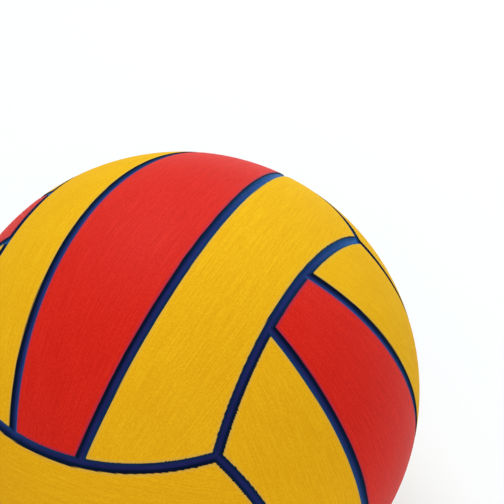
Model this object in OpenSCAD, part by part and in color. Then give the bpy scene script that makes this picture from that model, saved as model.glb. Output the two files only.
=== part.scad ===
// Water polo ball, size 5.
// Eighteen rubber cover panels lie on a blue foundation, which shows as a channel in every seam.
// Under the foundation are the thread winding and the air bladder with its valve.
// Origin at the centre of the ball, +Z through the middle of the top face, +Y out of the valve.
// The cover has six faces. Each is one red strip between two yellow strips.

/* [Ball] */
// Outside diameter of the ball
ball_d = 221; // [212:1:230]

/* [Wall] */
// Thickness of the cover panels
panel_t = 1.3; // [1.2:0.1:2]
// Thickness of the foundation rubber under the panels
carcass_t = 0.5; // [0.4:0.1:1.2]
// Thickness of the thread winding
winding_t = 0.4; // [0.3:0.1:1]
// Thickness of the air bladder
bladder_t = 0.6; // [0.4:0.1:1.5]
// Bond line between two pieces that are stuck together
bond_gap = 0.1; // [0.05:0.05:0.2]

/* [Seams] */
// Angle from the middle of a face to the seam beside its red strip
red_half_angle = 14; // [10:0.5:18]
// Width of a seam channel between the walls of two panels
seam_w = 3.8; // [2:0.1:5]
// Depth of a channel's bottom below the cover
seam_depth = 0.9; // [0.6:0.05:1.1]
// Radius of the rounded edge of a panel
panel_edge_r = 1; // [0.4:0.1:1.2]

/* [Valve] */
// Diameter of the neck of the valve housing
neck_d = 11; // [10:0.5:14]
// Length of the neck of the valve housing
neck_l = 22; // [20:1:30]
// Depth of the mouth of the neck below the cover
valve_recess = 0.5; // [0.2:0.1:1]
// Diameter of the flange of the valve housing
flange_d = 34; // [26:1:40]
// Thickness of the flange of the valve housing
flange_t = 1.2; // [0.8:0.1:2]
// Diameter of the patch that holds the flange in the bladder
patch_d = 46; // [42:1:50]
// Thickness of the patch over the flange
patch_t = 0.6; // [0.4:0.1:1.5]
// Diameter of the stem of the valve plug
stem_d = 5; // [4.6:0.1:6]
// Length of the stem of the valve plug
stem_l = 20; // [18:0.5:24]
// Diameter of the head of the valve plug
head_d = 7.4; // [6.8:0.1:8.4]
// Thickness of the head of the valve plug
head_t = 1.8; // [1:0.1:2.5]
// Diameter of the needle bore in the valve plug
needle_bore_d = 2.3; // [2:0.1:2.6]
// Depth of the needle bore, above the slit that closes itself
needle_bore_l = 16; // [10:1:17]
// Radial clearance between the plug and the neck
plug_clearance = 0.05; // [0.02:0.01:0.1]

/* [Hidden] */
$fn = 192;

// Radii of the layers, from the cover inwards
ball_r = ball_d / 2;
panel_in_r = ball_r - panel_t;
carcass_r = panel_in_r - bond_gap;
carcass_in_r = carcass_r - carcass_t;
winding_r = carcass_in_r - bond_gap;
winding_in_r = winding_r - winding_t;
bladder_r = winding_in_r - bond_gap;
bladder_in_r = bladder_r - bladder_t;
flange_r = bladder_in_r - bond_gap;
flange_in_r = flange_r - flange_t;

// Where three faces meet, each of their edge seams lies at this latitude of its own circle
edge_latitude = asin(sqrt(1 / 3));
// A panel's wall stands half a channel from the seam, and the foundation's rib is a bond narrower
panel_half_gap = seam_w / 2;
rib_half_w = panel_half_gap - bond_gap;
channel_floor_r = ball_r - seam_depth;
// The rounded edge of a panel is three facets and its wall, which lean away from the cover by these angles
edge_tilts = [22.5, 45, 67.5];
wall_tilt = 90;

// The valve's mouth and the plug
neck_r = neck_d / 2;
mouth_y = ball_r - valve_recess;
head_seat_y = mouth_y - head_t;

// How far a cut runs past what it cuts
cut_over = 5;
far_r = ball_r + cut_over;

// Colours
yellow_rubber = "#ecb61d";
red_rubber = "#d12a22";
blue_rubber = "#16306e";
black_rubber = "#24262a";
thread_white = "#e4e0d2";

// A face's name, the third turns that bring it from the top, and whether it is turned over first
FACES = [
    ["top", 0, 0], ["bottom", 0, 1],
    ["right", 1, 0], ["left", 1, 1],
    ["back", 2, 0], ["front", 2, 1],
];
// The directions in which the two yellow strips of each face lie
STRIP_SIDES = [
    ["left", "right"], ["right", "left"],
    ["front", "back"], ["back", "front"],
    ["lower", "upper"], ["upper", "lower"],
];
RED = 0;
VALVE_FACE = 4;
PANELS = [for (face = [0 : len(FACES) - 1]) for (strip = [-1 : 1]) [face, strip]];

function panel_name(face, strip) =
    strip == RED
        ? str("panel_", FACES[face][0], "_red")
        : str("panel_", FACES[face][0], "_yellow_", STRIP_SIDES[face][(strip + 1) / 2]);

// A point u out from the centre and v across a seam that lies at this latitude
function seam_point(latitude, u, v) = [
    u * cos(latitude) - v * sin(latitude),
    u * sin(latitude) + v * cos(latitude),
];

// Brings the top face to another face
module on_face(face) {
    rotate(a = 120 * FACES[face][1], v = [1, 1, 1])
        rotate([0, 180 * FACES[face][2], 0])
            children();
}

// Points the +Z axis out of the valve
module along_valve() {
    rotate([-90, 0, 0]) children();
}

module shell(outer_r, inner_r) {
    difference() {
        sphere(r = outer_r);
        sphere(r = inner_r);
    }
}

// Trims its children to the north of a small circle around an axis in the XZ plane, turned from +Z.
// The cut goes through the point u, v of the seam at this latitude and leans away from the cover by
// tilt. It is a sphere with its centre on the axis, or a plane if it is square to the axis.
module trim(turn, latitude, tilt, u, v) {
    point = seam_point(latitude, u, v);
    lean = latitude - tilt;
    flat = lean == -90;
    cut_r = flat ? 0 : point[0] / cos(lean);
    cut_z = flat ? point[1] : point[1] - point[0] * tan(lean);
    if (cut_r > 0)
        intersection() {
            children();
            rotate([0, turn, 0]) translate([0, 0, cut_z]) sphere(r = cut_r);
        }
    else
        difference() {
            children();
            rotate([0, turn, 0])
                if (flat) translate([-far_r, -far_r, cut_z - 2 * far_r]) cube(2 * far_r);
                else translate([0, 0, cut_z]) sphere(r = -cut_r);
        }
}

// Rounds the edge along a seam, one facet for each tilt, starting with the facet next to the cover
module round_edge(turn, latitude, half_gap, edge_r, step = 0) {
    if (edge_r > 0 && step < len(edge_tilts)) {
        tilt = edge_tilts[step];
        trim(turn, latitude, tilt,
             ball_r - edge_r * (1 - cos(tilt)), half_gap + edge_r * (1 - sin(tilt)))
            round_edge(turn, latitude, half_gap, edge_r, step + 1) children();
    } else {
        children();
    }
}

// One side of a strip: its wall beside the channel and its rounded edge
module strip_side(turn, latitude, half_gap, edge_r) {
    round_edge(turn, latitude, half_gap, edge_r)
        trim(turn, latitude, wall_tilt, ball_r, half_gap)
            children();
}

// One strip of the top face, between two radii: the red one, or a yellow one at -X or +X
module strip_solid(strip, outer_r, inner_r, half_gap, edge_r) {
    red_turn = 90 - red_half_angle;
    yellow_turn = 90 + red_half_angle;
    strip_side(0, edge_latitude, half_gap, edge_r)
        strip_side(strip == RED ? red_turn : strip * yellow_turn, 0, half_gap, edge_r)
            strip_side(
                strip == RED ? -red_turn : -strip * 90,
                strip == RED ? 0 : -edge_latitude,
                half_gap, edge_r
            )
                rotate([0, 90, 0]) shell(outer_r, inner_r);
}

// The hole that the valve's neck needs in each layer
module neck_hole() {
    along_valve() cylinder(r = neck_r + bond_gap, h = far_r);
}

// A disc of a given diameter in the shell between two radii, around the valve
module valve_disc(disc_d, outer_r, inner_r) {
    intersection() {
        shell(outer_r, inner_r);
        along_valve() cylinder(d = disc_d, h = far_r);
    }
}

module panel(face, strip) {
    color(strip == RED ? red_rubber : yellow_rubber)
        difference() {
            on_face(face) strip_solid(strip, ball_r, panel_in_r, panel_half_gap, panel_edge_r);
            if (face == VALVE_FACE && strip == RED) neck_hole();
        }
}

module carcass() {
    color(blue_rubber)
        difference() {
            shell(channel_floor_r, carcass_in_r);
            for (p = PANELS)
                on_face(p[0]) strip_solid(p[1], far_r, carcass_r, rib_half_w, 0);
            neck_hole();
        }
}

module winding() {
    color(thread_white)
        difference() {
            shell(winding_r, winding_in_r);
            neck_hole();
        }
}

module bladder() {
    color(black_rubber)
        difference() {
            shell(bladder_r, bladder_in_r);
            neck_hole();
        }
}

// Laps over the flange and onto the bladder around it
module valve_patch() {
    color(black_rubber)
        difference() {
            valve_disc(patch_d, flange_r, flange_in_r - bond_gap - patch_t);
            valve_disc(flange_d + 2 * bond_gap, far_r, flange_in_r - bond_gap);
            neck_hole();
        }
}

module valve_housing() {
    color(black_rubber)
        difference() {
            union() {
                valve_disc(flange_d, flange_r, flange_in_r);
                along_valve() translate([0, 0, mouth_y - neck_l]) cylinder(r = neck_r, h = neck_l);
            }
            along_valve() {
                translate([0, 0, mouth_y - neck_l - cut_over])
                    cylinder(r = stem_d / 2 + plug_clearance, h = neck_l + 2 * cut_over);
                translate([0, 0, head_seat_y])
                    cylinder(r = head_d / 2 + plug_clearance, h = head_t + cut_over);
            }
        }
}

module valve_core() {
    color(blue_rubber)
        along_valve() difference() {
            union() {
                translate([0, 0, head_seat_y - stem_l]) cylinder(d = stem_d, h = stem_l + head_t / 2);
                translate([0, 0, head_seat_y + plug_clearance])
                    cylinder(d = head_d, h = head_t - plug_clearance);
            }
            translate([0, 0, mouth_y - needle_bore_l])
                cylinder(d = needle_bore_d, h = needle_bore_l + cut_over);
        }
}

for (p = PANELS)
    panel(p[0], p[1]);
carcass();
winding();
bladder();
valve_patch();
valve_housing();
valve_core();
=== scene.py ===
"""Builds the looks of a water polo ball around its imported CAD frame.

The cover panels, the foundation in the seams and the valve get detailed meshes of their own, and
the layers inside keep their CAD shape. Lengths are in metres and angles in radians. A strip is
first made on the top face of the unit sphere, where the strips run along Y, and then turned to
its own face.
"""

import math

import bmesh
import bpy
import numpy as np
from bpy.props import FloatProperty, FloatVectorProperty, IntProperty, PointerProperty
from mathutils import Matrix, Vector


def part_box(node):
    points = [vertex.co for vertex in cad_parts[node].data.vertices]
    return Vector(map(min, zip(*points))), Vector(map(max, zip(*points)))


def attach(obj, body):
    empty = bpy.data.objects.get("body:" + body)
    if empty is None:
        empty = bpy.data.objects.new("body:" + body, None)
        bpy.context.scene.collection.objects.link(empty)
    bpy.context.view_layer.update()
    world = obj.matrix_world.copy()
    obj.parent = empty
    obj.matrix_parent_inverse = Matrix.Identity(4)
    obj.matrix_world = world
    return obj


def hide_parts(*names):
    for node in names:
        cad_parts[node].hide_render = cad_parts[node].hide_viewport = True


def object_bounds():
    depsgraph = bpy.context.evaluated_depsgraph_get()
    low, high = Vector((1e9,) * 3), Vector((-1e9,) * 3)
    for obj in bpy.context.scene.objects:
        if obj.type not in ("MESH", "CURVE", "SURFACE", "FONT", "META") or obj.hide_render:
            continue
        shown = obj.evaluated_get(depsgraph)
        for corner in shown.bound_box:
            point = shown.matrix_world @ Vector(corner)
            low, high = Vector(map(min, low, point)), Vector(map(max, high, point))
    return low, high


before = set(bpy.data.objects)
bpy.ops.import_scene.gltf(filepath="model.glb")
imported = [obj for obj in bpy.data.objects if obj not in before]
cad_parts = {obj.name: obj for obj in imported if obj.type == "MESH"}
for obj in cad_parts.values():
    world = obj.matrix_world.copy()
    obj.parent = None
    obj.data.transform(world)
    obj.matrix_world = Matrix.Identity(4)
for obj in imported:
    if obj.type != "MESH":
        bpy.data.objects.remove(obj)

bl_info = {
    "name": "Water Polo Ball",
    "version": (1, 0, 0),
    "blender": (4, 5, 0),
    "location": "3D View > Sidebar > Ball",
    "description": "Makes the rubber cover, the seams, the valve and a plain stage for a water polo ball",
    "category": "Add Mesh",
}

CAD_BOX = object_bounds()

# The gap between two layers, which stands in for their bond
BOND_GAP = 0.0001
# What the frame says about the layers
BALL_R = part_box("panel_top_red")[1].z
CARCASS_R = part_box("carcass")[1].z
CARCASS_IN_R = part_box("winding")[1].z + BOND_GAP
MOUTH_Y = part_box("valve_housing")[1].y
NECK_END_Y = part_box("valve_housing")[0].y
FLANGE_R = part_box("valve_housing")[1].x
HEAD_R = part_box("valve_core")[1].x
STEM_END_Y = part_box("valve_core")[0].y

# A face's name, the third turns that bring it from the top, and whether it is turned over first
FACES = [
    ("top", 0, 0), ("bottom", 0, 1),
    ("right", 1, 0), ("left", 1, 1),
    ("back", 2, 0), ("front", 2, 1),
]
# The directions in which the two yellow strips of each face lie
STRIP_SIDES = [
    ("left", "right"), ("right", "left"),
    ("front", "back"), ("back", "front"),
    ("lower", "upper"), ("upper", "lower"),
]
# The three strips of a face, from -X to +X where it is on top
LEFT, RED, RIGHT = -1, 0, 1
VALVE_FACE = 4
# Where three faces meet, each of their edge seams lies at this latitude of its own circle
EDGE_LATITUDE = math.asin(math.sqrt(1 / 3))
# How close two points of one seam are before they are joined
WELD = 1e-6
# Two faces that turn by more than this meet in a crisp edge
CREASE_ANGLE = math.radians(40)
# Two sides of an outline that meet at more than twice this angle need no rounding
STRAIGHT_HALF = math.radians(88)

# Steps of the meshes. The back of a panel has BACK_STEP times fewer than its cover side.
PANEL_COLUMNS, PANEL_ROWS = 144, 176
CORNER_STEPS, BACK_STEP = 8, 4
HOLE_COLUMNS, HOLE_ROWS, HOLE_RINGS = 28, 12, 4
RED_STEPS, YELLOW_STEPS, CHANNEL_STEPS = 16, 28, 8
FOUNDATION_HOLE_CELLS, INSIDE_HOLE_CELLS = 3, 1
FLANGE_STEPS = 8
FLOOR_CORNERS = 96

# The seams and the valve's hole in the cover
SEAM_CLEARANCE = 0.00003
SEAM_UNEVENNESS, SEAM_WOBBLE_SCALE = 0.0001, 130.0
HOLE_MARGIN = 0.0012

# Radii of the valve's edges
SHARP_EDGE, SOFT_EDGE = 0.0001, 0.0003
SEAT_EDGE, MOUTH_EDGE = 0.0002, 0.0004
STEM_END_EDGE = 0.0006
RING_EDGE, FUNNEL_EDGE = 0.00008, 0.0002
# The moulded ring in the plug's head. Its radii are shares of the head's.
RING_DEPTH = 0.00015
RING_IN_SHARE, RING_OUT_SHARE = 0.62, 0.76
# The width and the depth of the needle's funnel, as shares of the bore's radius
FUNNEL_W_SHARE, FUNNEL_DEPTH_SHARE = 1.7, 0.6

# What noise comes to on average
NOISE_MEAN = 0.5

# In the lines below, a range is two values of a pattern, and then what they become, unless that is 0
# and 1.

# The moulded ribs, in rib pitches: how slowly they change along a strip, how far they wander from
# side to side, how sharp their grooves are and where they fade
RIB_STRETCH = 0.09
RIB_WANDER, RIB_WANDER_SCALE = 2.4, 0.12
RIB_SHARPNESS = 1.5
RIB_FADE_SCALE, RIB_FADE_RANGE = 0.9, (0.3, 0.7, 0.15, 1.0)

# The patterns of the cover rubber. The waver of a fine rib is in radians.
FINE_RIB_PITCH, FINE_RIB_RANGE = 0.0011, (0.35, 0.65)
WAVER, WAVER_SCALE = 9.0, 0.25
STREAK_W, STREAK_L = 0.0006, 0.018
PEBBLE_SIZE, PEBBLE_RANGE = 0.00045, (0.1, 0.7)
GRAIN_SIZE = 0.0008
COVER_CLOUD_SCALE = 28.0
# How much of each pattern is in the cover's bump and in its tone
COVER_BUMP, COVER_BUMP_SHARES = 0.00007, {"rib": 0.45, "streak": 0.35, "pebble": 0.9}
TONE_RANGE, TONE_SHARES = (0.35, 0.7), {"streak": 0.4, "cloud": 0.15, "rib": 0.1, "grain": 0.4}
# Half the roughness between the pebbles and the gaps
ROUGHNESS_SPREAD = 0.05
# Each cover rubber: how much darker its grooves and how much lighter its ridges are in red, green
# and blue, which is partly painted shade of the relief and partly random tone, the colour that its lip
# is tinged with, a tinge of the blue seam rubber with painted shade, how strongly, and its gloss and
# roughness
RED_FINISH = {
    "tones": ((0.88, 0.6, 0.5), (1.08, 1.35, 1.5)), "lip_tinge_and_shade": (0.30, 0.02, 0.07), "lip_tinge_and_shade_share": 0.55,
    "gloss": 0.1, "roughness": 0.55,
}
YELLOW_FINISH = {
    "tones": ((0.92, 0.85, 0.6), (1.05, 1.10, 1.3)), "lip_tinge_and_shade": (0.58, 0.40, 0.08), "lip_tinge_and_shade_share": 0.5,
    "gloss": 0.06, "roughness": 0.85,
}
# The tinge of a lip, which is partly painted shade, how ragged its edge is as a share, and the dark wall that
# runs up to it, which is painted shade
LIP_TINGE_AND_SHADE, LIP_RAGGEDNESS = 0.0012, 0.8
WALL_SHADE, WALL_SHADE_RUN = (0.005, 0.004, 0.018), 0.0004

# The foundation's rubber
BLUE_SHEEN = (0.03, 0.38, 1.0)
# Painted shade that darkens the sides of a channel, and the share of a side over which it comes in
CHANNEL_SIDE_SHADE, CHANNEL_SIDE_SHADE_RANGE = (0.002, 0.003, 0.014), (0.2, 0.8)
BLUE_CLOUD_SCALE, BLUE_CLOUD_RANGE = 90.0, (0.3, 0.7)
BLUE_DARKER, BLUE_LIGHTER = 0.85, 1.15
SCUFF_SCALE, SCUFF_RANGE = 700.0, (0.3, 0.7, 0.2, 0.32)
BLUE_BUMP, BLUE_BUMP_SHARES = 0.0003, {"cloud": 1.0, "scuff": 0.12}

# The moulded rubber of the valve and the bladder. The depth of its grain is a share of the grain's size.
BLOOM_SCALE, BLOOM_RANGE, BLOOM_TONE = 120.0, (0.35, 0.75), 1.5
SPECKLE_RANGE, SPECKLE_DEPTH_SHARE = (0.3, 0.7), 0.08
SMOOTHER, ROUGHER = 0.06, 0.08
HOUSING_TONE = 1.2

# The winding's thread. Its bump is a share of the pitch.
THREAD_PITCH, THREAD_BUMP_SHARE = 0.0004, 0.3
THREAD_TURNS = (0.3, 0.5, 0.0), (1.4, 0.2, 0.9), (0.7, 1.2, 2.1)
# Painted shade in the gaps between the threads
THREAD_GAP_SHADE = 0.6
# Blender's wave texture turns by this many radians in a metre at a scale of 1
WAVE_RATE = 20
# The colour inputs and the colour output of Blender's Mix node
MIX_FIRST, MIX_SECOND, MIX_RESULT = 6, 7, 2

# Each lamp's place, size, power and colour
LAMPS = {
    "key_light": ((-0.4, 0.53, 1.21), 0.6, 9.3, (0.83, 1.0, 1.07)),
    "fill_light": ((0.6, -0.9, 0.8), 1.2, 5.0, (1.04, 0.96, 0.92)),
    "rim_light": ((0.2, 1.25, 0.5), 0.6, 5.5, (0.66, 0.93, 1.15)),
}
SKY_STRENGTH = 0.6
FLOOR_COLOUR = (0.85, 0.85, 0.85)
FLOOR_GLOW_SHARE = 0.5
# The camera shows nothing that is nearer than this
NEAREST_SEEN = 0.01


class BallCover(bpy.types.PropertyGroup):
    red_half_angle: FloatProperty(
        name="Red Half Angle", description="From the middle of a face to the seam beside its red strip",
        default=math.radians(14), min=0.17, max=0.32, subtype="ANGLE", unit="ROTATION")
    seam_width: FloatProperty(
        name="Seam Width", description="Width of a seam channel between two panels",
        default=0.0038, min=0.002, max=0.005, subtype="DISTANCE", unit="LENGTH")
    seam_depth: FloatProperty(
        name="Seam Depth", description="Depth of a channel's bottom below the cover",
        default=0.0013, min=0.0006, max=0.00135, subtype="DISTANCE", unit="LENGTH")
    seam_rise: FloatProperty(
        name="Seam Rise", description="How far a channel's sides climb above its bottom",
        default=0.00075, min=0.0002, max=0.0012, subtype="DISTANCE", unit="LENGTH")
    corner_radius: FloatProperty(
        name="Corner Radius", description="Radius of the corners of a panel, seen from outside",
        default=0.0006, min=0.0005, max=0.004, subtype="DISTANCE", unit="LENGTH")
    lip_radius: FloatProperty(
        name="Lip Radius", description="Radius of the rounded edge of a panel",
        default=0.00045, min=0.0002, max=0.001, subtype="DISTANCE", unit="LENGTH")
    panel_thickness: FloatProperty(
        name="Panel Thickness", description="Thickness of a cover panel",
        default=0.0013, min=0.001, max=0.002, subtype="DISTANCE", unit="LENGTH")
    rib_pitch: FloatProperty(
        name="Rib Pitch", description="Distance between the moulded ribs of a panel",
        default=0.0015, min=0.001, max=0.004, subtype="DISTANCE", unit="LENGTH")
    rib_depth: FloatProperty(
        name="Rib Depth", description="Depth of the grooves between the moulded ribs",
        default=0.00004, min=0.0, max=0.0003, subtype="DISTANCE", unit="LENGTH")
    rib_seed: IntProperty(name="Rib Seed", description="Seed of the ribs' wander", default=7)


class BallValve(bpy.types.PropertyGroup):
    neck_radius: FloatProperty(
        name="Neck Radius", description="Radius of the neck of the valve housing",
        default=0.0055, min=0.005, max=0.007, subtype="DISTANCE", unit="LENGTH")
    neck_gap: FloatProperty(
        name="Neck Gap", description="Gap between the neck and the hole in the cover",
        default=BOND_GAP, min=0.00005, max=0.0003, subtype="DISTANCE", unit="LENGTH")
    stem_radius: FloatProperty(
        name="Stem Radius", description="Radius of the stem of the valve plug",
        default=0.0025, min=0.0023, max=0.003, subtype="DISTANCE", unit="LENGTH")
    head_thickness: FloatProperty(
        name="Head Thickness", description="Thickness of the head of the valve plug",
        default=0.0018, min=0.001, max=0.0025, subtype="DISTANCE", unit="LENGTH")
    needle_radius: FloatProperty(
        name="Needle Bore Radius", description="Radius of the bore that takes the inflating needle",
        default=0.00115, min=0.001, max=0.0013, subtype="DISTANCE", unit="LENGTH")
    plug_clearance: FloatProperty(
        name="Plug Clearance", description="Radial clearance between the plug and the neck",
        default=0.00005, min=0.00002, max=0.0001, subtype="DISTANCE", unit="LENGTH")
    flange_depth: FloatProperty(
        name="Flange Depth", description="Depth of the flange's outer side below the cover",
        default=0.0032, min=0.0025, max=0.006, subtype="DISTANCE", unit="LENGTH")
    flange_thickness: FloatProperty(
        name="Flange Thickness", description="Thickness of the flange",
        default=0.0012, min=0.0008, max=0.002, subtype="DISTANCE", unit="LENGTH")
    needle_depth: FloatProperty(
        name="Needle Bore Depth", description="Depth of the bore that takes the inflating needle",
        default=0.016, min=0.01, max=0.017, subtype="DISTANCE", unit="LENGTH")


class BallColours(bpy.types.PropertyGroup):
    yellow: FloatVectorProperty(
        name="Yellow Rubber", description="Colour of the yellow cover panels",
        default=(0.80, 0.42, 0.006), min=0, max=1, subtype="COLOR")
    red: FloatVectorProperty(
        name="Red Rubber", description="Colour of the red cover panels",
        default=(0.65, 0.0135, 0.004), min=0, max=1, subtype="COLOR")
    blue: FloatVectorProperty(
        name="Blue Rubber", description="Colour of the foundation",
        default=(0.014, 0.0125, 0.09), min=0, max=1, subtype="COLOR")
    plug: FloatVectorProperty(
        name="Plug Rubber", description="Colour of the valve plug",
        default=(0.012, 0.03, 0.13), min=0, max=1, subtype="COLOR")
    black: FloatVectorProperty(
        name="Black Rubber", description="Colour of the bladder, its patch and the valve housing",
        default=(0.011, 0.011, 0.013), min=0, max=1, subtype="COLOR")
    thread: FloatVectorProperty(
        name="Thread", description="Colour of the winding",
        default=(0.78, 0.74, 0.64), min=0, max=1, subtype="COLOR")


class BallStage(bpy.types.PropertyGroup):
    camera_place: FloatVectorProperty(
        name="Camera Place", description="Where the camera stands",
        default=(0.24145, -0.28261, 0.45071), subtype="XYZ", unit="LENGTH")
    camera_azimuth: FloatProperty(
        name="Camera Azimuth", description="Direction from which the camera looks, from +X towards +Y",
        default=math.radians(-55.836), subtype="ANGLE", unit="ROTATION")
    camera_elevation: FloatProperty(
        name="Camera Elevation", description="Angle by which the camera looks down",
        default=math.radians(44.905), subtype="ANGLE", unit="ROTATION")
    camera_roll: FloatProperty(
        name="Camera Roll", description="Turn of the camera about its own line of sight",
        default=math.radians(-7.921), subtype="ANGLE", unit="ROTATION")
    lens: FloatProperty(
        name="Lens", description="Focal length of the camera in millimetres", default=88.03, min=20, max=200)
    floor_radius: FloatProperty(
        name="Floor Radius", description="Radius of the floor",
        default=3.0, min=0.5, max=10, subtype="DISTANCE", unit="LENGTH")


def seam_circle(axis, latitude):
    """The circle of a seam: its axis and the latitude of the seam around it."""
    return np.array(axis, float), latitude


def tangent(point, axis):
    """Unit direction at a point of the sphere that leads to an axis."""
    along = axis - point * (point @ axis)
    return along / np.linalg.norm(along)


def unit(points):
    """The points of the unit sphere in the directions of these points."""
    return points / np.linalg.norm(points, axis=-1, keepdims=True)


def circle_between(start, end, axis, shares):
    """Points between two points of a circle around an axis, at these shares of the way."""
    height = axis * (axis @ start)
    first = start - height
    second = np.cross(axis, first)
    angle = math.atan2(end @ second, end @ first)
    return [height + math.cos(s * angle) * first + math.sin(s * angle) * second for s in shares]


class Strip:
    """The red or the right strip of the top face, a patch of the unit sphere between four seams.

    The sides are its near end, right side, far end and left side, and corner 0 is near and left.
    The strip lies north of each side's seam. The left strip is the right one, turned.
    """

    def __init__(self, column, half_angle):
        across, up = math.cos(half_angle), math.sin(half_angle)
        end = seam_circle((0, 0, 1), EDGE_LATITUDE)
        if column == RED:
            right, left = seam_circle((-across, 0, up), 0), seam_circle((across, 0, up), 0)
        else:
            right, left = seam_circle((-1, 0, 0), -EDGE_LATITUDE), seam_circle((across, 0, -up), 0)
        self.sides = [end, right, end, left]

    def corner(self, number, inset):
        """The corner of the strip's outline, moved inwards by an angle."""
        end_latitude = self.sides[0][1]
        axis, latitude = self.sides[1 if number in (1, 2) else 3]
        z = math.sin(end_latitude + inset)
        x = (math.sin(latitude + inset) - axis[2] * z) / axis[0]
        y = math.sqrt(1 - x * x - z * z)
        return np.array((x, -y if number < 2 else y, z))

    def outline(self, inset, corner_inset, shares, corner_steps):
        """The outline moved inwards by an angle, rounded about the corners at corner_inset."""
        reach = corner_inset - inset
        points = []
        for number in range(4):
            before, after = self.sides[number - 1][0], self.sides[number][0]
            centre, following = self.corner(number, corner_inset), self.corner((number + 1) % 4, corner_inset)
            arriving, leaving = -tangent(centre, before), -tangent(centre, after)
            spread = math.acos(arriving @ leaving)
            for step in range(corner_steps + 1):
                share = step / corner_steps
                away = math.sin((1 - share) * spread) * arriving + math.sin(share * spread) * leaving
                points.append(math.cos(reach) * centre + math.sin(reach) * away / math.sin(spread))
            side_end = math.cos(reach) * following - math.sin(reach) * tangent(following, after)
            points += circle_between(points[-1], side_end, after, shares[number][1:-1])
        return np.array(points)


class SkinMesh:
    """Collects the points and faces of one piece, and a value of each layer for each point."""

    def __init__(self, layers):
        self.points = []
        self.faces = []
        self.layers = {name: [] for name in layers}

    def add(self, directions, radius, **values):
        """Adds points on a sphere and returns their numbers, in the shape of the directions."""
        flat = np.asarray(directions).reshape(-1, 3)
        first = len(self.points)
        self.points.extend(flat * radius)
        for name, layer in self.layers.items():
            layer.extend(np.broadcast_to(values.get(name, 0), len(flat)))
        return np.arange(first, len(self.points)).reshape(np.shape(directions)[:-1])

    def face(self, corners, inward=False):
        """Adds a face, without the corners that coincide. Its normal can point inward."""
        kept = [int(c) for i, c in enumerate(corners) if c != corners[i - 1]]
        if len(kept) > 2:
            self.faces.append(kept[::-1] if inward else kept)

    def band(self, outer, inner, inward=False):
        """Joins two closed loops, where the inner one lies on the left of the outer one."""
        for i in range(len(outer)):
            j = (i + 1) % len(outer)
            self.face([outer[i], outer[j], inner[j], inner[i]], inward)

    def thinning_band(self, fine, coarse, inward=False):
        """Joins a closed loop to one on its left that has a whole number of times fewer points."""
        step = len(fine) // len(coarse)
        for i in range(len(coarse)):
            edge = [fine[(i * step + k) % len(fine)] for k in range(step + 1)]
            self.face(edge + [coarse[(i + 1) % len(coarse)], coarse[i]], inward)

    def sheet(self, numbers, hole=None, inward=False):
        """Joins a grid of points, rows first, but for the cells of a block of rows and columns."""
        rows, columns = numbers.shape
        for i in range(rows - 1):
            for j in range(columns - 1):
                if hole and hole[0] <= i < hole[1] and hole[2] <= j < hole[3]:
                    continue
                self.face([numbers[i, j], numbers[i, j + 1], numbers[i + 1, j + 1], numbers[i + 1, j]],
                          inward)

    def make(self, name, uv_layers=None):
        """The mesh, with its layers as attributes."""
        mesh = bpy.data.meshes.new(name)
        mesh.from_pydata([tuple(p) for p in self.points], [], self.faces)
        for layer, values in self.layers.items():
            mesh.attributes.new(layer, "FLOAT", "POINT").data.foreach_set("value", values)
        if uv_layers:
            corners = np.zeros(len(mesh.loops), int)
            mesh.loops.foreach_get("vertex_index", corners)
            uv = np.stack([np.array(self.layers[n])[corners] for n in uv_layers], 1)
            mesh.uv_layers.new(name="UVMap").uv.foreach_set("vector", uv.ravel())
        return mesh


def perimeter(numbers, corner_steps=0):
    """The outer points of a grid, in the order of an outline whose corners have these steps."""
    loop = []
    for side in (numbers[0], numbers[:, -1], numbers[-1][::-1], numbers[::-1, 0]):
        loop += [side[0]] * (corner_steps + 1) + list(side[1:-1])
    return loop


def filled(strip, inset, shares):
    """A grid of points of the sphere inside the strip's sharp outline, with the near end first."""
    corners = [strip.corner(number, inset) for number in range(4)]
    sides = []
    for number in range(4):
        start, end = corners[number], corners[(number + 1) % 4]
        between = circle_between(start, end, strip.sides[number][0], shares[number][1:-1])
        sides.append(np.array([start] + between + [end]))
    near, right, far, left = sides[0], sides[1], sides[2][::-1], sides[3][::-1]
    v = np.linspace(0, 1, len(right))[:, None, None]
    u = np.linspace(0, 1, len(near))[None, :, None]
    blend = (1 - v) * near[None] + v * far[None] + (1 - u) * left[:, None] + u * right[:, None]
    bilinear = (1 - v) * ((1 - u) * corners[0] + u * corners[1]) + v * ((1 - u) * corners[3] + u * corners[2])
    return unit(blend - bilinear)


def even(steps):
    """Shares from 0 to 1 in even steps."""
    return np.linspace(0, 1, steps + 1)


def every(shares, step):
    """The same shares with fewer steps."""
    return [side[::step] for side in shares]


def ring_around(loop, angle):
    """A circle around the middle of the face, one point in the direction of each point of a loop."""
    azimuth = np.arctan2(loop[:, 1], loop[:, 0])
    return np.stack([
        math.sin(angle) * np.cos(azimuth), math.sin(angle) * np.sin(azimuth),
        np.full(len(loop), math.cos(angle)),
    ], 1)


def block(rows, columns, half_rows, half_columns):
    """The rows and columns of a block of cells in the middle of a grid."""
    middle_row, middle_column = rows // 2, columns // 2
    return (middle_row - half_rows, middle_row + half_rows,
            middle_column - half_columns, middle_column + half_columns)


def block_points(numbers, hole):
    """The points of a grid at the corners of a block's cells."""
    return numbers[hole[0]:hole[1] + 1, hole[2]:hole[3] + 1]


def lip_insets(lip_radius, steps=6):
    """Distances from a panel's wall to the points of its rounded edge."""
    return [lip_radius * (1 - math.cos(math.pi / 2 * k / steps)) for k in range(steps + 1)]


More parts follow.
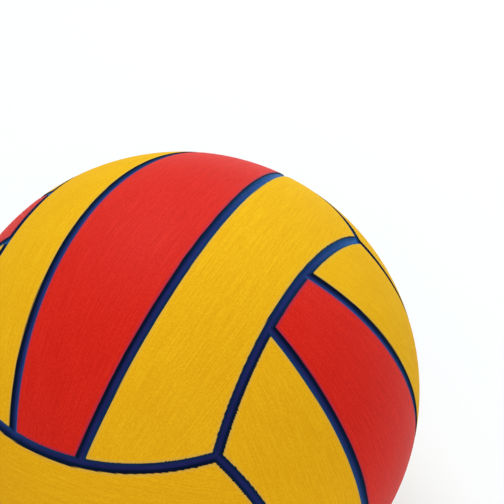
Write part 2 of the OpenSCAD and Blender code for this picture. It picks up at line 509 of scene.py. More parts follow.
def panel_mesh(name, column, cover, hole_radius=0):
    """A cover panel on the top face, with a sharp edge that the relief rounds.

    Its layers say whether a point is on the cover side, how far it is from the panel's edge, with or
    without that of the valve's hole, and where it lies across and along the strip.
    """
    strip = Strip(column, cover.red_half_angle)
    wall = cover.seam_width / 2 / BALL_R
    corner = wall + cover.corner_radius / BALL_R
    shares = [even(PANEL_COLUMNS), even(PANEL_ROWS)] * 2
    coarse_shares = every(shares, BACK_STEP)
    back_r = BALL_R - cover.panel_thickness
    mesh = SkinMesh(["cover", "edge", "seam", "across", "along"])

    def add(directions, radius=BALL_R, on_cover=1, edge=None, at_hole=False):
        """Adds points with their layers. Points of a rounded edge come with their distance from it."""
        flat = np.reshape(directions, (-1, 3))
        inside = [np.arcsin(flat @ axis) - latitude - wall for axis, latitude in strip.sides]
        seam = np.min(inside, 0) * BALL_R
        if edge is None:
            edge = np.minimum(seam, np.arccos(flat[:, 2]) * BALL_R - hole_radius) if hole_radius else seam
        elif not at_hole:
            seam = edge
        return mesh.add(
            directions, radius, cover=on_cover, edge=edge, seam=seam,
            across=np.arctan2(flat[:, 0], flat[:, 2]) * BALL_R, along=np.arcsin(flat[:, 1]) * BALL_R)

    rim = add(strip.outline(wall, corner, shares, CORNER_STEPS), edge=0)
    loop = rim
    for inset in lip_insets(cover.lip_radius)[1:]:
        inner = add(strip.outline(wall + inset / BALL_R, corner, shares, CORNER_STEPS), edge=inset)
        mesh.band(loop, inner)
        loop = inner
    directions = filled(strip, corner, shares)
    grid = add(directions)
    mesh.band(loop, perimeter(grid, CORNER_STEPS))
    foot = add(strip.outline(wall, corner, shares, CORNER_STEPS), back_r, 0, 0)
    mesh.band(foot, rim)
    back_directions = filled(strip, corner, coarse_shares)
    back = add(back_directions, back_r, 0)
    mesh.thinning_band(foot, perimeter(back, CORNER_STEPS // BACK_STEP), inward=True)
    if not hole_radius:
        mesh.sheet(grid)
        mesh.sheet(back, inward=True)
        return mesh.make(name, ("across", "along"))

    hole = block(PANEL_ROWS, PANEL_COLUMNS, HOLE_ROWS, HOLE_COLUMNS)
    back_hole = [number // BACK_STEP for number in hole]
    mesh.sheet(grid, hole)
    mesh.sheet(back, back_hole, inward=True)
    loop = perimeter(block_points(grid, hole))
    around = unit(np.array(mesh.points)[loop])
    lip = lip_insets(cover.lip_radius)[::-1]
    outer_circle = ring_around(around, (hole_radius + HOLE_MARGIN) / BALL_R)
    for share in even(HOLE_RINGS)[1:]:
        inner = add(unit((1 - share) * around + share * outer_circle))
        mesh.band(loop, inner)
        loop = inner
    for inset in lip:
        inner = add(ring_around(around, (hole_radius + inset) / BALL_R), edge=inset, at_hole=True)
        mesh.band(loop, inner)
        loop = inner
    hole_foot = add(ring_around(around, hole_radius / BALL_R), back_r, 0, 0, at_hole=True)
    mesh.band(loop, hole_foot)
    mesh.thinning_band(hole_foot, perimeter(block_points(back, back_hole)))
    return mesh.make(name, ("across", "along"))


def face_turn(face, column):
    """The turn that brings a strip of the top face to its own face, as a 3 by 3 array."""
    _, thirds, flipped = FACES[face]
    turn = Matrix.Rotation(math.radians(120) * thirds, 3, Vector((1, 1, 1)))
    turn = turn @ Matrix.Rotation(math.pi * flipped, 3, "Y")
    if column == LEFT:
        turn = turn @ Matrix.Rotation(math.pi, 3, "Z")
    return np.array(turn)


def seam_shares(column, half_angle):
    """The steps along a strip's four sides, with a point wherever another seam ends."""
    ends = even(RED_STEPS if column == RED else YELLOW_STEPS)
    along = even(RED_STEPS + 2 * YELLOW_STEPS)
    if column == RED:
        return [ends, along, ends, along]
    side_angle = math.asin(math.sin(EDGE_LATITUDE) * math.tan(half_angle) / math.cos(EDGE_LATITUDE))
    joint = 0.5 - side_angle / math.radians(90)
    middle = joint + (1 - 2 * joint) * even(RED_STEPS)
    outer = np.concatenate([joint * even(YELLOW_STEPS)[:-1], middle, 1 - joint * even(YELLOW_STEPS)[-2::-1]])
    return [ends, outer, ends, along]


def foundation_cell(mesh, face, column, cover, hole_radius):
    """The part of the foundation under one strip: the channel around it and the layer below it."""
    strip = Strip(abs(column), cover.red_half_angle)
    turn = face_turn(face, column).T
    wall = (cover.seam_width / 2 - SEAM_CLEARANCE) / BALL_R
    corner = (cover.seam_width / 2 + cover.corner_radius) / BALL_R
    shares = seam_shares(column, cover.red_half_angle)
    coarse_shares = every(shares, BACK_STEP)
    floor_r = BALL_R - cover.seam_depth

    middle = strip.outline(0, 0, shares, CORNER_STEPS)
    side = strip.outline(wall, corner, shares, CORNER_STEPS)
    loop = mesh.add(middle @ turn, floor_r, channel=1)
    for share in even(CHANNEL_STEPS)[1:]:
        ring = unit((1 - share) * middle + share * side)
        inner = mesh.add(ring @ turn, floor_r, channel=1, side=share)
        mesh.band(loop, inner)
        loop = inner
    foot = mesh.add(side @ turn, CARCASS_R)
    mesh.band(loop, foot)
    directions = filled(strip, corner, shares)
    grid = mesh.add(directions @ turn, CARCASS_R)
    mesh.band(foot, perimeter(grid, CORNER_STEPS))

    inside_middle = mesh.add(
        strip.outline(0, 0, coarse_shares, CORNER_STEPS // BACK_STEP) @ turn, CARCASS_IN_R)
    inside = mesh.add(filled(strip, corner, coarse_shares) @ turn, CARCASS_IN_R)
    mesh.band(inside_middle, perimeter(inside, CORNER_STEPS // BACK_STEP), inward=True)
    if (face, column) != (VALVE_FACE, RED):
        mesh.sheet(grid)
        mesh.sheet(inside, inward=True)
        return

    rows, columns = RED_STEPS + 2 * YELLOW_STEPS, RED_STEPS
    hole = block(rows, columns, FOUNDATION_HOLE_CELLS, FOUNDATION_HOLE_CELLS)
    inside_hole = block(rows // BACK_STEP, columns // BACK_STEP, INSIDE_HOLE_CELLS, INSIDE_HOLE_CELLS)
    mesh.sheet(grid, hole)
    mesh.sheet(inside, inside_hole, inward=True)
    around = perimeter(block_points(np.arange(grid.size).reshape(grid.shape), hole))
    circle = ring_around(directions.reshape(-1, 3)[around], hole_radius / BALL_R) @ turn
    top, bottom = mesh.add(circle, CARCASS_R), mesh.add(circle, CARCASS_IN_R)
    mesh.band(perimeter(block_points(grid, hole)), top)
    mesh.band(top, bottom)
    mesh.thinning_band(bottom, perimeter(block_points(inside, inside_hole)))


def rounded(outline, steps=6):
    """A closed outline of (radius, height, corner radius) points with its corners rounded."""
    points = []
    for i, (r, y, corner) in enumerate(outline):
        here = Vector((r, y))
        before = (Vector(outline[i - 1][:2]) - here).normalized()
        after = (Vector(outline[(i + 1) % len(outline)][:2]) - here).normalized()
        half = before.angle(after) / 2
        if not corner or half > STRAIGHT_HALF:
            points.append(tuple(here))
            continue
        centre = here + (before + after).normalized() * (corner / math.sin(half))
        start = here + before * (corner / math.tan(half)) - centre
        end = here + after * (corner / math.tan(half)) - centre
        turn = start.angle_signed(end)
        for step in range(steps + 1):
            spoke = start.copy()
            spoke.rotate(Matrix.Rotation(-turn * step / steps, 2))
            points.append(tuple(centre + spoke))
    return points


def lathe(name, outline, segments=96):
    """A solid of revolution around the Y axis from a closed outline of (radius, height) points."""
    outline = np.array(outline)
    angles = 2 * math.pi * np.arange(segments) / segments
    points = np.stack([
        np.outer(np.sin(angles), outline[:, 0]), np.tile(outline[:, 1], (segments, 1)),
        np.outer(np.cos(angles), outline[:, 0]),
    ], 2).reshape(-1, 3)
    count = len(outline)
    faces = []
    for i in range(segments):
        for j in range(count):
            a, b = i * count, (i + 1) % segments * count
            k = (j + 1) % count
            faces.append((a + j, a + k, b + k, b + j))
    mesh = bpy.data.meshes.new(name)
    mesh.from_pydata([tuple(p) for p in points], [], faces)
    tidy(mesh, outwards=True)
    return mesh


def tidy(mesh, outwards=False):
    """Joins points that coincide, shades the mesh smooth and keeps its edges crisp."""
    work = bmesh.new()
    work.from_mesh(mesh)
    bmesh.ops.remove_doubles(work, verts=work.verts, dist=WELD)
    if outwards:
        bmesh.ops.recalc_face_normals(work, faces=work.faces)
    work.to_mesh(mesh)
    work.free()
    mesh.shade_smooth()
    mesh.set_sharp_from_angle(angle=CREASE_ANGLE)


def sphere_point(sphere_r, r):
    """The height of a sphere's surface at a distance from the valve's axis."""
    return math.sqrt(sphere_r * sphere_r - r * r)


def housing_outline(valve):
    """The housing's outline: the neck with the plug's hole, and the flange on the bladder."""
    flange_r = BALL_R - valve.flange_depth
    under_r = flange_r - valve.flange_thickness
    stem, head = valve.stem_radius + valve.plug_clearance, HEAD_R + valve.plug_clearance
    neck, seat = valve.neck_radius, MOUTH_Y - valve.head_thickness
    outline = [(stem, NECK_END_Y, SHARP_EDGE), (neck, NECK_END_Y, SOFT_EDGE)]
    across = np.linspace(neck, FLANGE_R, FLANGE_STEPS + 1)
    outline += [(r, sphere_point(under_r, r), 0) for r in across]
    outline += [(r, sphere_point(flange_r, r), 0) for r in across[::-1]]
    outline += [
        (neck, MOUTH_Y, MOUTH_EDGE), (head, MOUTH_Y, SOFT_EDGE),
        (head, seat, SHARP_EDGE), (stem, seat, SEAT_EDGE),
    ]
    return rounded(outline)


def plug_outline(valve):
    """The plug's outline, with a funnel for the needle and a moulded ring in its head."""
    bore, stem, seat = valve.needle_radius, valve.stem_radius, MOUTH_Y - valve.head_thickness
    under = seat + valve.plug_clearance
    ring_in, ring_out = HEAD_R * RING_IN_SHARE, HEAD_R * RING_OUT_SHARE
    ring_y = MOUTH_Y - RING_DEPTH
    funnel, funnel_y = bore * FUNNEL_W_SHARE, MOUTH_Y - bore * FUNNEL_DEPTH_SHARE
    bore_end = MOUTH_Y - valve.needle_depth
    return rounded([
        (0, STEM_END_Y, 0), (stem, STEM_END_Y, STEM_END_EDGE), (stem, under, SHARP_EDGE),
        (HEAD_R, under, SHARP_EDGE), (HEAD_R, MOUTH_Y, SOFT_EDGE),
        (ring_out, MOUTH_Y, RING_EDGE), (ring_out, ring_y, RING_EDGE),
        (ring_in, ring_y, RING_EDGE), (ring_in, MOUTH_Y, RING_EDGE),
        (funnel, MOUTH_Y, FUNNEL_EDGE), (bore, funnel_y, FUNNEL_EDGE),
        (bore, bore_end, 0), (0, bore_end - bore, 0),
    ])


def add_node(tree, kind, inputs=None, **settings):
    """Adds a node. Its inputs, by name or number, hold a value or come from another socket."""
    node = tree.nodes.new(kind)
    for name, value in settings.items():
        setattr(node, name, value)
    for key, value in (inputs or {}).items():
        if isinstance(value, bpy.types.NodeSocket):
            tree.links.new(value, node.inputs[key])
        else:
            node.inputs[key].default_value = value
    return node


def maths(tree, operation, *values):
    """The result of one of Blender's Math operations."""
    return add_node(tree, "ShaderNodeMath", dict(enumerate(values)), operation=operation).outputs[0]


def blended(tree, patterns, shares):
    """The sum of some patterns, each times its share."""
    total = 0.0
    for key, share in shares.items():
        total = maths(tree, "MULTIPLY_ADD", patterns[key], share, total)
    return total


def lies_between(tree, value, low, high, start=0.0, end=1.0):
    """Turns a range of values smoothly into another."""
    return add_node(tree, "ShaderNodeMapRange", {
        "Value": value, "From Min": low, "From Max": high, "To Min": start, "To Max": end,
    }, interpolation_type="SMOOTHSTEP").outputs["Result"]


def noise(tree, place, scale, detail=2.0, roughness=0.5):
    """Soft random values between 0 and 1."""
    return add_node(tree, "ShaderNodeTexNoise", {
        "Vector": place, "Scale": scale, "Detail": detail, "Roughness": roughness,
    }).outputs[0]


def mixed(tree, share, first, second):
    """A colour between two others. Each is a socket or three numbers."""
    node = add_node(tree, "ShaderNodeMix", {"Factor": share}, data_type="RGBA")
    for key, colour in ((MIX_FIRST, first), (MIX_SECOND, second)):
        if isinstance(colour, bpy.types.NodeSocket):
            tree.links.new(colour, node.inputs[key])
        else:
            node.inputs[key].default_value = (*colour, 1)
    return node.outputs[MIX_RESULT]


def shaded(colour, factors):
    """A colour made darker or lighter by a factor, or by one for each of its parts."""
    return tuple(min(1.0, part * factor) for part, factor in zip(colour, np.broadcast_to(factors, 3)))


def form_tree(name, sizes):
    """A Geometry Nodes tree with these named inputs, and its input node."""
    tree = bpy.data.node_groups.new(name, "GeometryNodeTree")
    tree.is_modifier = True
    tree.interface.new_socket("Geometry", in_out="INPUT", socket_type="NodeSocketGeometry")
    tree.interface.new_socket("Geometry", in_out="OUTPUT", socket_type="NodeSocketGeometry")
    for size in sizes:
        tree.interface.new_socket(size, in_out="INPUT", socket_type="NodeSocketFloat")
    tree.interface.new_socket("Material", in_out="INPUT", socket_type="NodeSocketMaterial")
    return tree, add_node(tree, "NodeGroupInput").outputs


def layer(tree, name):
    """The value of one of the mesh's layers."""
    return add_node(tree, "GeometryNodeInputNamedAttribute", {"Name": name}, data_type="FLOAT").outputs[0]


def finish_form(tree, source, moved, chosen):
    """Moves the chosen points and ends the tree."""
    placed = add_node(tree, "GeometryNodeSetPosition", {
        "Geometry": source["Geometry"], "Selection": chosen, "Position": moved})
    real = add_node(tree, "GeometryNodeRealizeInstances", {"Geometry": placed.outputs[0]})
    painted = add_node(tree, "GeometryNodeSetMaterial", {
        "Geometry": real.outputs[0], "Material": source["Material"]})
    add_node(tree, "NodeGroupOutput", {"Geometry": painted.outputs[0]})
    return tree


def sunk(tree, drop):
    """The place of a point that goes down towards the centre of the ball by a distance."""
    place = add_node(tree, "GeometryNodeInputPosition").outputs[0]
    length = add_node(tree, "ShaderNodeVectorMath", {0: place}, operation="LENGTH").outputs["Value"]
    share = maths(tree, "SUBTRACT", 1.0, maths(tree, "DIVIDE", drop, length))
    return add_node(tree, "ShaderNodeVectorMath", {0: place, "Scale": share}, operation="SCALE").outputs[0]


def relief_tree():
    """Rounds the edge of a panel and moulds the ribs that run along it."""
    tree, source = form_tree("panel_relief", ["Lip Radius", "Rib Pitch", "Rib Depth", "Seed"])
    lip = source["Lip Radius"]
    short = maths(tree, "MAXIMUM", maths(tree, "SUBTRACT", lip, layer(tree, "edge")), 0.0)
    lip_square = maths(tree, "MULTIPLY", lip, lip)
    fall = maths(tree, "SQRT", maths(tree, "SUBTRACT", lip_square, maths(tree, "MULTIPLY", short, short)))
    lip_drop = maths(tree, "SUBTRACT", lip, fall)

    across = maths(tree, "DIVIDE", layer(tree, "across"), source["Rib Pitch"])
    along = maths(tree, "DIVIDE", layer(tree, "along"), source["Rib Pitch"])
    slow_along = maths(tree, "MULTIPLY", along, RIB_STRETCH)
    place = add_node(tree, "ShaderNodeCombineXYZ", {0: across, 1: slow_along, 2: source["Seed"]}).outputs[0]
    wander = noise(tree, place, RIB_WANDER_SCALE)
    phase = maths(tree, "ADD", across, maths(tree, "MULTIPLY", wander, RIB_WANDER))
    wave = maths(tree, "COSINE", maths(tree, "MULTIPLY", phase, 2 * math.pi))
    groove = maths(tree, "POWER", maths(tree, "MAXIMUM", wave, 0.0), RIB_SHARPNESS)
    strength = lies_between(tree, noise(tree, place, RIB_FADE_SCALE, detail=1.0), *RIB_FADE_RANGE)
    rib_drop = maths(tree, "MULTIPLY", maths(tree, "MULTIPLY", groove, strength), source["Rib Depth"])
    drop = maths(tree, "ADD", lip_drop, rib_drop)
    return finish_form(tree, source, sunk(tree, drop), layer(tree, "cover"))


def channel_tree():
    """Hollows the foundation between two panels to part of a circle."""
    tree, source = form_tree("seam_channel", ["Half Width", "Groove Radius", "Unevenness"])
    beside = maths(tree, "MULTIPLY", layer(tree, "side"), source["Half Width"])
    groove = source["Groove Radius"]
    square = maths(tree, "SUBTRACT", maths(tree, "MULTIPLY", groove, groove),
                   maths(tree, "MULTIPLY", beside, beside))
    rise = maths(tree, "SUBTRACT", groove, maths(tree, "SQRT", square))
    place = add_node(tree, "GeometryNodeInputPosition").outputs[0]
    wobble = maths(tree, "SUBTRACT", noise(tree, place, SEAM_WOBBLE_SCALE, detail=1.0), NOISE_MEAN)
    drop = maths(tree, "SUBTRACT", maths(tree, "MULTIPLY", wobble, source["Unevenness"]), rise)
    return finish_form(tree, source, sunk(tree, drop), layer(tree, "channel"))


def formed(obj, tree, material, **sizes):
    """Runs a Geometry Nodes tree on an object and keeps the result as its plain mesh."""
    sockets = {item.name: item.identifier for item in tree.interface.items_tree if item.in_out == "INPUT"}
    modifier = obj.modifiers.new(tree.name, "NODES")
    modifier.node_group = tree
    modifier[sockets["Material"]] = material
    for name, value in sizes.items():
        modifier[sockets[name.replace("_", " ").title()]] = value
    graph = bpy.context.evaluated_depsgraph_get()
    mesh = bpy.data.meshes.new_from_object(
        obj.evaluated_get(graph), preserve_all_data_layers=True, depsgraph=graph)
    mesh.name = obj.name
    obj.modifiers.remove(modifier)
    obj.data = mesh
    return mesh


def placed(name, mesh):
    """A new object in the scene, at the origin."""
    obj = bpy.data.objects.new(name, mesh)
    bpy.context.scene.collection.objects.link(obj)
    return obj


def dressed(obj, body, slot, *nodes):
    """Says what a finished piece rides on and stands for. Its slot, which would name its finish, is not used.
    """
    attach(obj, body)
    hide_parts(*nodes)


def material_tree(name, **constants):
    """A new material, its node tree and its shader, whose constants are set on the shader itself."""
    material = bpy.data.materials.new(name)
    material.use_nodes = True
    tree = material.node_tree
    shader = tree.nodes["Principled BSDF"]
    for socket, value in constants.items():
        shader.inputs[socket.replace("_", " ")].default_value = value
    return material, tree, shader


def bumped(tree, shader, height, distance):
    """Gives a shader a bump of this height, in metres, from a pattern."""
    normal = add_node(tree, "ShaderNodeBump", {"Height": height, "Distance": distance, "Strength": 1.0})
    tree.links.new(normal.outputs[0], shader.inputs["Normal"])


def body_place(tree):
    """The place of a point in the ball."""
    return add_node(tree, "ShaderNodeTexCoord").outputs["Object"]


def cover_rubber(name, colour, tones, lip_tinge_and_shade, lip_tinge_and_shade_share, gloss, roughness):
    """Grippy moulded rubber: fine ribs along the strip, pebbles, a lip tinged by the seam's blue and darkened
    by painted shade, and a near-black wall that is painted shade.
    """
    material, tree, shader = material_tree(name, Specular_IOR_Level=gloss)
    strip_place = add_node(tree, "ShaderNodeUVMap", uv_map="UVMap").outputs[0]
    across = add_node(tree, "ShaderNodeSeparateXYZ", {0: strip_place}).outputs[0]
    place = body_place(tree)

    stretched = add_node(tree, "ShaderNodeMapping", {
        "Vector": strip_place, "Scale": (1 / STREAK_W, 1 / STREAK_L, 1)}).outputs[0]
    streak = noise(tree, stretched, scale=1.0, detail=3.0, roughness=0.6)
    waver = noise(tree, stretched, WAVER_SCALE, detail=1.0)
    rib_phase = maths(tree, "ADD", maths(tree, "MULTIPLY", across, 2 * math.pi / FINE_RIB_PITCH),
                      maths(tree, "MULTIPLY", waver, WAVER))
    rib = maths(tree, "MULTIPLY_ADD", maths(tree, "COSINE", rib_phase), 0.5, 0.5)
    rib = maths(tree, "MULTIPLY", rib, lies_between(tree, streak, *FINE_RIB_RANGE))
    pebble = add_node(tree, "ShaderNodeTexVoronoi", {
        "Vector": place, "Scale": 1 / PEBBLE_SIZE, "Randomness": 1.0,
    }, feature="SMOOTH_F1").outputs["Distance"]
    cloud = noise(tree, place, COVER_CLOUD_SCALE, detail=3.0)
    grain = noise(tree, place, 1 / GRAIN_SIZE, detail=1.0)
    patterns = {"rib": rib, "streak": streak, "pebble": pebble, "cloud": cloud, "grain": grain}
    bumped(tree, shader, blended(tree, patterns, COVER_BUMP_SHARES), COVER_BUMP)

    # The tone is partly painted shade: the ribs' grooves get the darker colour and their ridges the lighter
    # one, mixed with random streaks, cloud and grain
    tone = lies_between(tree, blended(tree, patterns, TONE_SHARES), *TONE_RANGE)
    painted = mixed(tree, tone, shaded(colour, tones[0]), shaded(colour, tones[1]))
    # Painted shade: the lip near the seam is mixed towards a darker colour, partly a tinge of the blue seam
    # rubber and partly shade
    seam = add_node(tree, "ShaderNodeAttribute", attribute_name="seam").outputs["Fac"]
    ragged = maths(tree, "MULTIPLY_ADD", cloud, -LIP_TINGE_AND_SHADE * LIP_RAGGEDNESS, seam)
    lip_tinge_and_shade_mix = lies_between(tree, ragged, 0.0, LIP_TINGE_AND_SHADE, lip_tinge_and_shade_share, 0.0)
    painted = mixed(tree, lip_tinge_and_shade_mix, painted, lip_tinge_and_shade)
    # Painted shade: the wall and the foot of the lip turn near-black, raggedly along the ribs
    wall_shade_run = maths(tree, "MULTIPLY_ADD", rib, -WALL_SHADE_RUN, seam)
    wall = lies_between(tree, wall_shade_run, 0.0, WALL_SHADE_RUN, 1.0, 0.0)
    tree.links.new(mixed(tree, wall, painted, WALL_SHADE), shader.inputs["Base Color"])
    rough = lies_between(
        tree, pebble, *PEBBLE_RANGE, roughness - ROUGHNESS_SPREAD, roughness + ROUGHNESS_SPREAD)
    tree.links.new(rough, shader.inputs["Roughness"])
    return material


def seam_rubber(colour):
    """The foundation's rubber, with a blue sheen, and painted shade that darkens the sides of a channel."""
    material, tree, shader = material_tree(
        "foundation_blue_rubber", Specular_IOR_Level=0.01, Specular_Tint=(*BLUE_SHEEN, 1),
        Sheen_Weight=0.8, Sheen_Roughness=0.5, Sheen_Tint=(*BLUE_SHEEN, 1))
    place = body_place(tree)
    cloud = noise(tree, place, BLUE_CLOUD_SCALE, detail=3.0, roughness=0.6)
    scuff = noise(tree, place, SCUFF_SCALE)
    patterns = {"cloud": cloud, "scuff": scuff}
    bumped(tree, shader, blended(tree, patterns, BLUE_BUMP_SHARES), BLUE_BUMP)
    painted = mixed(tree, lies_between(tree, cloud, *BLUE_CLOUD_RANGE),
                    shaded(colour, BLUE_DARKER), shaded(colour, BLUE_LIGHTER))
    side = add_node(tree, "ShaderNodeAttribute", attribute_name="side").outputs["Fac"]
    # Painted shade: the sides of a channel turn darker towards the panels' walls
    painted = mixed(tree, lies_between(tree, side, *CHANNEL_SIDE_SHADE_RANGE), painted, CHANNEL_SIDE_SHADE)
    tree.links.new(painted, shader.inputs["Base Color"])
    tree.links.new(lies_between(tree, scuff, *SCUFF_RANGE), shader.inputs["Roughness"])
    return material


def moulded_rubber(name, colour, roughness, grain):
    """Plain moulded rubber with a fine grain and a little bloom."""
    material, tree, shader = material_tree(name, Specular_IOR_Level=0.3)
    place = body_place(tree)
    speckle = noise(tree, place, 1 / grain, detail=3.0, roughness=0.6)
    bumped(tree, shader, speckle, grain * SPECKLE_DEPTH_SHARE)
    bloom = lies_between(tree, noise(tree, place, BLOOM_SCALE, detail=3.0), *BLOOM_RANGE)
    tree.links.new(mixed(tree, bloom, colour, shaded(colour, BLOOM_TONE)), shader.inputs["Base Color"])
    rough = lies_between(tree, speckle, *SPECKLE_RANGE, roughness - SMOOTHER, roughness + ROUGHER)
    tree.links.new(rough, shader.inputs["Roughness"])
    return material


def wound_thread(colour):
    """Threads wound around the bladder in three directions, with painted shade in the gaps between them."""
    material, tree, shader = material_tree("winding_thread", Roughness=0.75)
    place = body_place(tree)
    height = 0.0
    for turn in THREAD_TURNS:
        turned_place = add_node(tree, "ShaderNodeMapping", {"Vector": place, "Rotation": turn}).outputs[0]
        threads = add_node(tree, "ShaderNodeTexWave", {
            "Vector": turned_place, "Scale": 2 * math.pi / WAVE_RATE / THREAD_PITCH, "Distortion": 1.0,
        }).outputs["Fac"]
        height = maths(tree, "MAXIMUM", height, threads)
    bumped(tree, shader, height, THREAD_PITCH * THREAD_BUMP_SHARE)
    # Painted shade: the gaps between the threads get a darker thread colour
    tree.links.new(mixed(tree, height, shaded(colour, THREAD_GAP_SHADE), colour), shader.inputs["Base Color"])
    return material


class BALL_OT_cover_panels(bpy.types.Operator):
    """Make the eighteen cover panels, each with rounded edges and moulded ribs"""
    bl_idname = "ball.cover_panels"
    bl_label = "Cover Panels"

    def execute(self, context):
        cover, valve, colours = context.scene.ball_cover, context.scene.ball_valve, context.scene.ball_colours
        materials = {
            RED: cover_rubber("cover_red_rubber", tuple(colours.red), **RED_FINISH),
            RIGHT: cover_rubber("cover_yellow_rubber", tuple(colours.yellow), **YELLOW_FINISH),
        }
        slots = {RED: "cover_red", RIGHT: "cover_yellow"}
        hole_radius = valve.neck_radius + valve.neck_gap
        patterns = {
            (RED, False): panel_mesh("red", RED, cover),
            (RIGHT, False): panel_mesh("yellow", RIGHT, cover),
            (RED, True): panel_mesh("red_with_hole", RED, cover, hole_radius),
        }
        tree = relief_tree()
        for face, (face_name, _, _) in enumerate(FACES):
            for column in (LEFT, RED, RIGHT):
                if column == RED:
                    name = f"panel_{face_name}_red"
                else:
                    name = f"panel_{face_name}_yellow_{STRIP_SIDES[face][column > 0]}"
                has_hole = (face, column) == (VALVE_FACE, RED)
                mesh = patterns[abs(column), has_hole].copy()
                mesh.transform(Matrix(face_turn(face, column)).to_4x4())
                panel = placed(name + "_cover", mesh)
                material = materials[abs(column)]
                finished = formed(
                    panel, tree, material, lip_radius=cover.lip_radius, rib_pitch=cover.rib_pitch,
                    rib_depth=cover.rib_depth, seed=float(cover.rib_seed + 3 * face + column))
                finished.shade_smooth()
                finished.set_sharp_from_angle(angle=CREASE_ANGLE)
                dressed(panel, "ball", slots[abs(column)], name)
        return {"FINISHED"}


class BALL_OT_foundation(bpy.types.Operator):
    """Make the blue foundation, whose channels show in the seams"""
    bl_idname = "ball.foundation"
    bl_label = "Foundation"

    def execute(self, context):
        cover, valve = context.scene.ball_cover, context.scene.ball_valve
        mesh = SkinMesh(["channel", "side"])
        for face in range(len(FACES)):
            for column in (LEFT, RED, RIGHT):
                foundation_cell(mesh, face, column, cover, valve.neck_radius + valve.neck_gap)
        made = mesh.make("foundation")
        tidy(made)
        foundation = placed("foundation", made)
        half_width = cover.seam_width / 2
        groove_radius = (half_width ** 2 + cover.seam_rise ** 2) / (2 * cover.seam_rise)
        finished = formed(
            foundation, channel_tree(), seam_rubber(tuple(context.scene.ball_colours.blue)),
            half_width=half_width, groove_radius=groove_radius, unevenness=SEAM_UNEVENNESS)
        finished.shade_smooth()
        finished.set_sharp_from_angle(angle=CREASE_ANGLE)
        dressed(foundation, "ball", "foundation_blue", "carcass")
        return {"FINISHED"}


class BALL_OT_valve(bpy.types.Operator):
    """Make the valve housing and the plug that pulls out of it"""
    bl_idname = "ball.valve"
    bl_label = "Valve"

    def execute(self, context):
        valve, colours = context.scene.ball_valve, context.scene.ball_colours
        housing = placed("valve_housing_body", lathe("valve_housing_body", housing_outline(valve)))
        black = shaded(tuple(colours.black), HOUSING_TONE)
        housing.data.materials.append(
            moulded_rubber("valve_black_rubber", black, roughness=0.45, grain=0.0004))
        dressed(housing, "ball", "valve_black", "valve_housing")
        plug = placed("valve_plug", lathe("valve_plug", plug_outline(valve)))
        plug.data.materials.append(
            moulded_rubber("plug_blue_rubber", tuple(colours.plug), roughness=0.4, grain=0.0003))
        dressed(plug, "valve", "plug_blue", "valve_core")
        return {"FINISHED"}


class BALL_OT_inner_layers(bpy.types.Operator):
    """Finish the layers under the foundation, which keep their CAD shape"""
    bl_idname = "ball.inner_layers"
    bl_label = "Inner Layers"

    def execute(self, context):
        colours = context.scene.ball_colours
        butyl = moulded_rubber("butyl_black_rubber", tuple(colours.black), roughness=0.6, grain=0.0008)
        finishes = {"winding": wound_thread(tuple(colours.thread)), "bladder": butyl, "valve_patch": butyl}
        for node, material in finishes.items():
            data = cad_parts[node].data
            data.materials.clear()
            data.materials.append(material)
        return {"FINISHED"}


class BALL_OT_stage(bpy.types.Operator):
    """Make the floor, the soft light and the camera"""
    bl_idname = "ball.stage"
    bl_label = "Stage"

    def execute(self, context):
        stage = context.scene.ball_stage
        make_floor(stage.floor_radius)
        make_sky(context.scene)
        for name, facts in LAMPS.items():
            add_lamp(name, *facts)
        camera = bpy.data.objects.new("camera", bpy.data.cameras.new("camera"))
        context.scene.collection.objects.link(camera)
        camera.data.lens = stage.lens
        camera.data.clip_start = NEAREST_SEEN
        tilt = math.pi / 2 - stage.camera_elevation
        turn = Matrix.Rotation(stage.camera_azimuth + math.pi / 2, 4, "Z")
        aim = turn @ Matrix.Rotation(tilt, 4, "X") @ Matrix.Rotation(stage.camera_roll, 4, "Z")
        camera.matrix_world = Matrix.Translation(stage.camera_place) @ aim
        context.scene.camera = camera
        context.scene.view_settings.view_transform = "Standard"
        return {"FINISHED"}


def camera_ray_share(tree, share=1.0):
    """How much of a ray comes straight from the camera, a mirror or a glass."""
    rays = add_node(tree, "ShaderNodeLightPath").outputs
    seen = maths(tree, "MAXIMUM", rays["Is Camera Ray"], rays["Is Glossy Ray"])
    seen = maths(tree, "MAXIMUM", seen, rays["Is Transmission Ray"])
    return maths(tree, "MULTIPLY", seen, share)


def make_floor(radius):
    """A pale round floor that touches the ball and keeps its shadow."""
    angles = 2 * math.pi * np.arange(FLOOR_CORNERS) / FLOOR_CORNERS
    low = CAD_BOX[0][2]
    mesh = bpy.data.meshes.new("floor")
    mesh.from_pydata([(radius * math.cos(a), radius * math.sin(a), low) for a in angles], [],
                     [range(FLOOR_CORNERS)])
    floor = placed("floor", mesh)
    material, tree, shader = material_tree("pale_floor", Base_Color=(*FLOOR_COLOUR, 1), Roughness=0.9)
    glow = add_node(tree, "ShaderNodeEmission", {"Color": (1, 1, 1, 1), "Strength": 1.0}).outputs[0]
    both = add_node(tree, "ShaderNodeMixShader", {
        0: camera_ray_share(tree, FLOOR_GLOW_SHARE), 1: shader.outputs[0], 2: glow}).outputs[0]
    tree.links.new(both, tree.nodes["Material Output"].inputs["Surface"])
    mesh.materials.append(material)


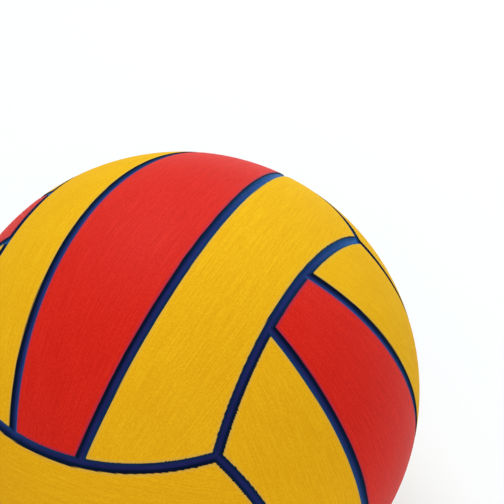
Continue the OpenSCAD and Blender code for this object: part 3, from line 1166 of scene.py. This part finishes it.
def make_sky(scene):
    """Plain light from all around, with a white background."""
    scene.world = bpy.data.worlds.new("studio")
    scene.world.use_nodes = True
    tree = scene.world.node_tree
    seen = lies_between(tree, camera_ray_share(tree), 0.0, 1.0, SKY_STRENGTH, 1.0)
    sky = tree.nodes["Background"]
    sky.inputs["Color"].default_value = (1, 1, 1, 1)
    tree.links.new(seen, sky.inputs["Strength"])


def add_lamp(name, place, size, power, colour):
    """A square soft box that faces the ball."""
    lamp = bpy.data.lights.new(name, "AREA")
    lamp.shape = "SQUARE"
    lamp.size = size
    lamp.energy = power
    lamp.color = colour
    obj = bpy.data.objects.new(name, lamp)
    bpy.context.scene.collection.objects.link(obj)
    obj.location = place
    obj.rotation_euler = Vector(place).to_track_quat("Z", "Y").to_euler()


PIECES = (BALL_OT_cover_panels, BALL_OT_foundation, BALL_OT_valve, BALL_OT_inner_layers, BALL_OT_stage)
SETTINGS = {
    "ball_cover": BallCover, "ball_valve": BallValve, "ball_colours": BallColours, "ball_stage": BallStage,
}


class BALL_PT_sidebar(bpy.types.Panel):
    """Lists the pieces of the ball and their sizes"""
    bl_label = "Water Polo Ball"
    bl_idname = "BALL_PT_sidebar"
    bl_space_type = "VIEW_3D"
    bl_region_type = "UI"
    bl_category = "Ball"

    def draw(self, context):
        for piece in PIECES:
            self.layout.operator(piece.bl_idname)
        for name in SETTINGS:
            settings = getattr(context.scene, name)
            box = self.layout.box()
            for key in settings.bl_rna.properties.keys():
                if key not in ("rna_type", "name"):
                    box.prop(settings, key)


def register():
    for group in SETTINGS.values():
        bpy.utils.register_class(group)
    for piece in PIECES:
        bpy.utils.register_class(piece)
    bpy.utils.register_class(BALL_PT_sidebar)
    for name, group in SETTINGS.items():
        setattr(bpy.types.Scene, name, PointerProperty(type=group))


def unregister():
    for name in SETTINGS:
        delattr(bpy.types.Scene, name)
    bpy.utils.unregister_class(BALL_PT_sidebar)
    for piece in reversed(PIECES):
        bpy.utils.unregister_class(piece)
    for group in reversed(SETTINGS.values()):
        bpy.utils.unregister_class(group)


def main():
    """Makes the stage and every piece."""
    register()
    bpy.ops.ball.stage()
    bpy.ops.ball.cover_panels()
    bpy.ops.ball.foundation()
    bpy.ops.ball.valve()
    bpy.ops.ball.inner_layers()


if __name__ == "__main__":
    main()
